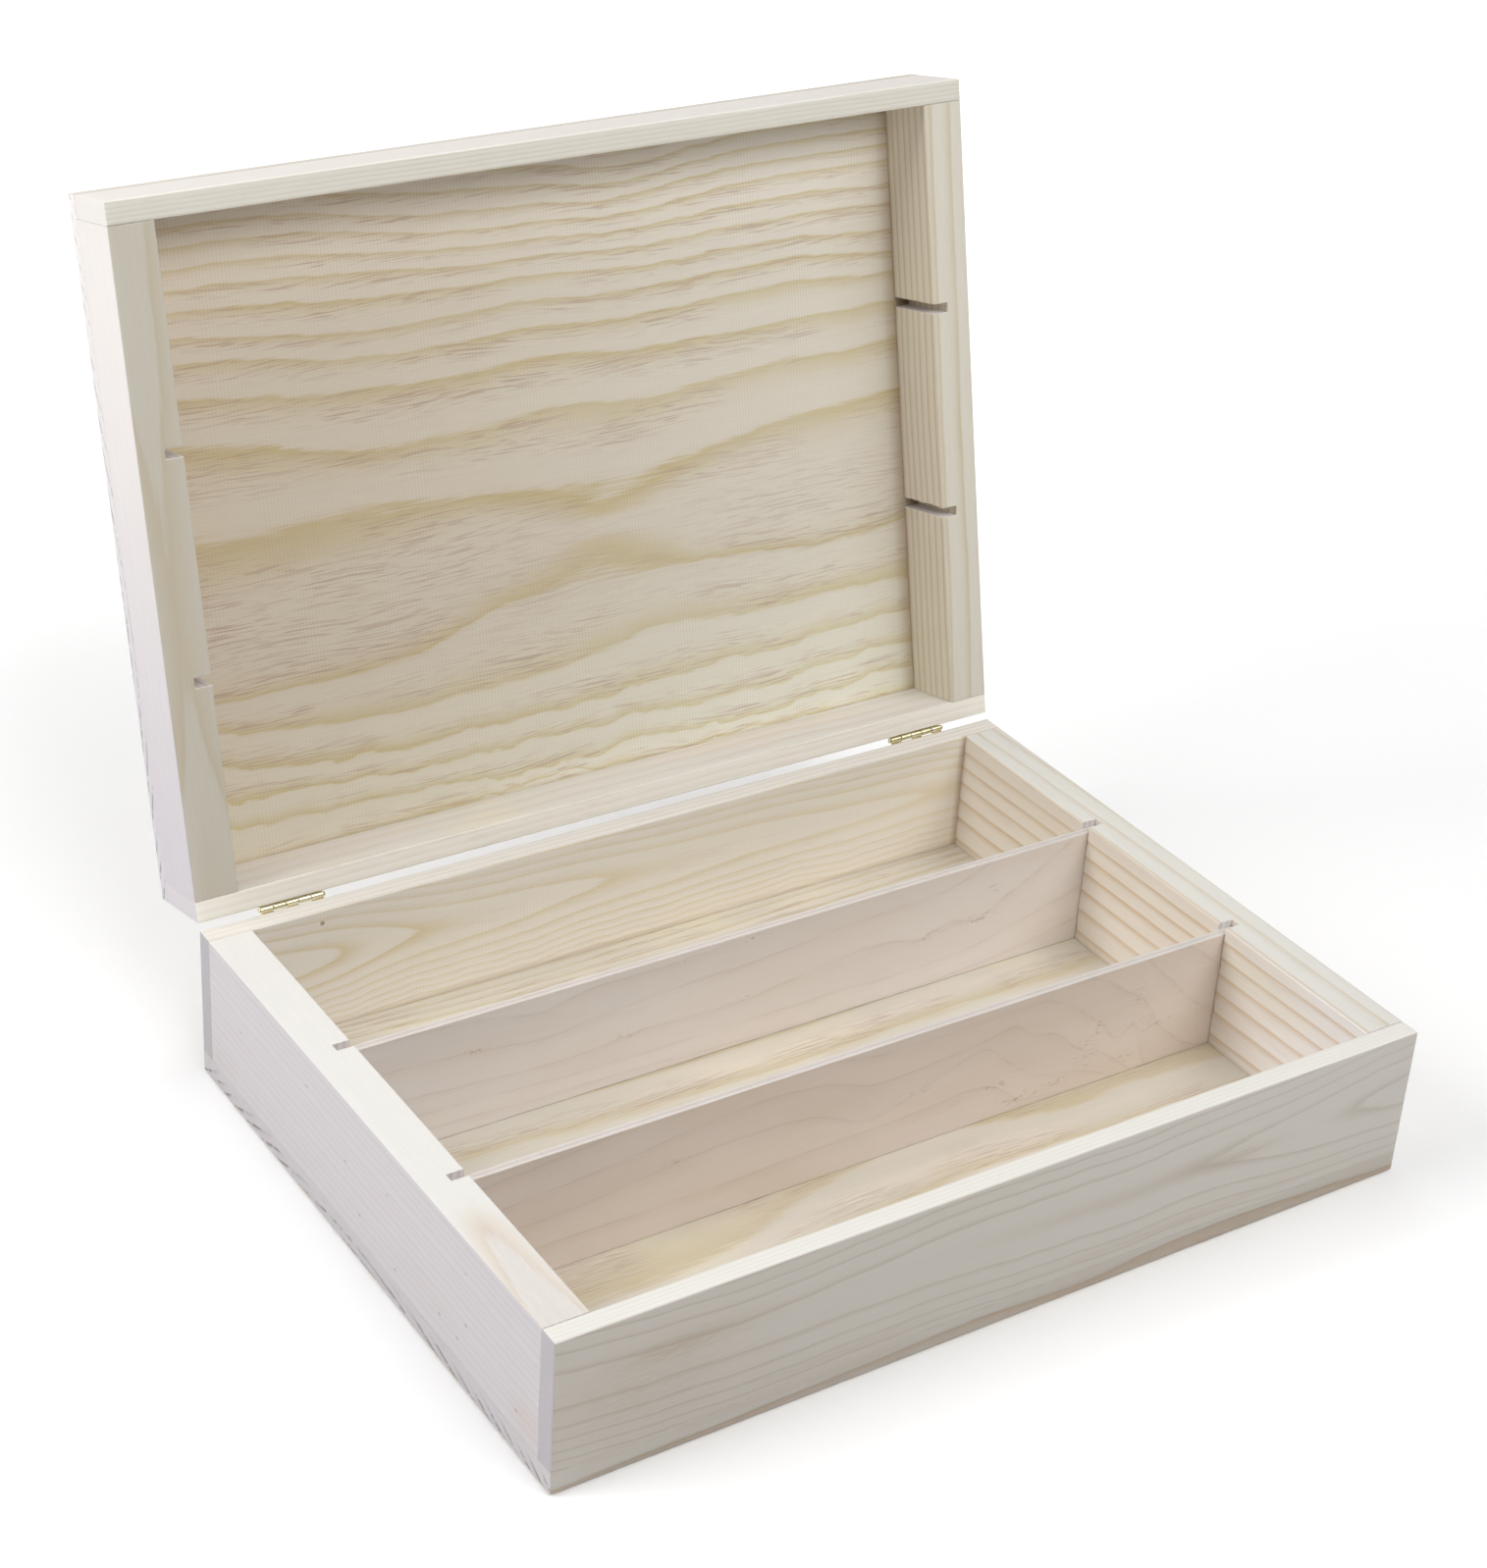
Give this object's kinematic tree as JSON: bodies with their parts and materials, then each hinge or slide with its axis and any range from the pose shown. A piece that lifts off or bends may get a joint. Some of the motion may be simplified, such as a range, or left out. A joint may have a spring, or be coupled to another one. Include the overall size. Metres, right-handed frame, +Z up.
{
  "type": "hinged compartment box",
  "caption": "Unfinished pine box with a hinged lid, butt joints, lift-out plywood dividers standing in grooves, and small brass butt hinges nailed on at the back.",
  "frame": {"origin": "centre of the tray's underside, on the surface the box stands on", "axes": "+X to the right along the box's length, +Y to the back where the hinges are, +Z up"},
  "size_m": [0.3, 0.2977, 0.2682],
  "materials": {
    "pine": "bare sanded softwood, unfinished, with faint growth lines",
    "plywood": "bare smooth hardwood plywood, unfinished",
    "brass": "bright brass-plated steel"
  },
  "bodies": {
    "tray": {"base_bottom_panel": "pine", "base_front_board": "pine", "base_back_board": "pine", "base_left_board": "pine", "base_right_board": "pine", "hinge_left_tray_leaf": "brass", "hinge_left_pin": "brass", "hinge_left_tray_nail_1": "brass", "hinge_left_tray_nail_2": "brass", "hinge_right_tray_leaf": "brass", "hinge_right_pin": "brass", "hinge_right_tray_nail_1": "brass", "hinge_right_tray_nail_2": "brass"},
    "lid": {"lid_top_panel": "pine", "lid_front_board": "pine", "lid_back_board": "pine", "lid_left_board": "pine", "lid_right_board": "pine", "hinge_left_lid_leaf": "brass", "hinge_left_lid_nail_1": "brass", "hinge_left_lid_nail_2": "brass", "hinge_right_lid_leaf": "brass", "hinge_right_lid_nail_1": "brass", "hinge_right_lid_nail_2": "brass"},
    "front_divider": {"divider_front": "plywood"},
    "rear_divider": {"divider_rear": "plywood"}
  },
  "joints": [
    {"name": "lid_hinge", "type": "hinge", "parent": "tray", "child": "lid", "pos_m": [0, 0.1111, 0.05268], "axis": [1, 0, 0], "range_deg": [0, 102.9]},
    {"name": "front_divider_lift", "type": "slide", "parent": "tray", "child": "front_divider", "axis": [0, 0, 1], "range_m": [0, 0.025]},
    {"name": "rear_divider_lift", "type": "slide", "parent": "tray", "child": "rear_divider", "axis": [0, 0, 1], "range_m": [0, 0.025]}
  ]
}
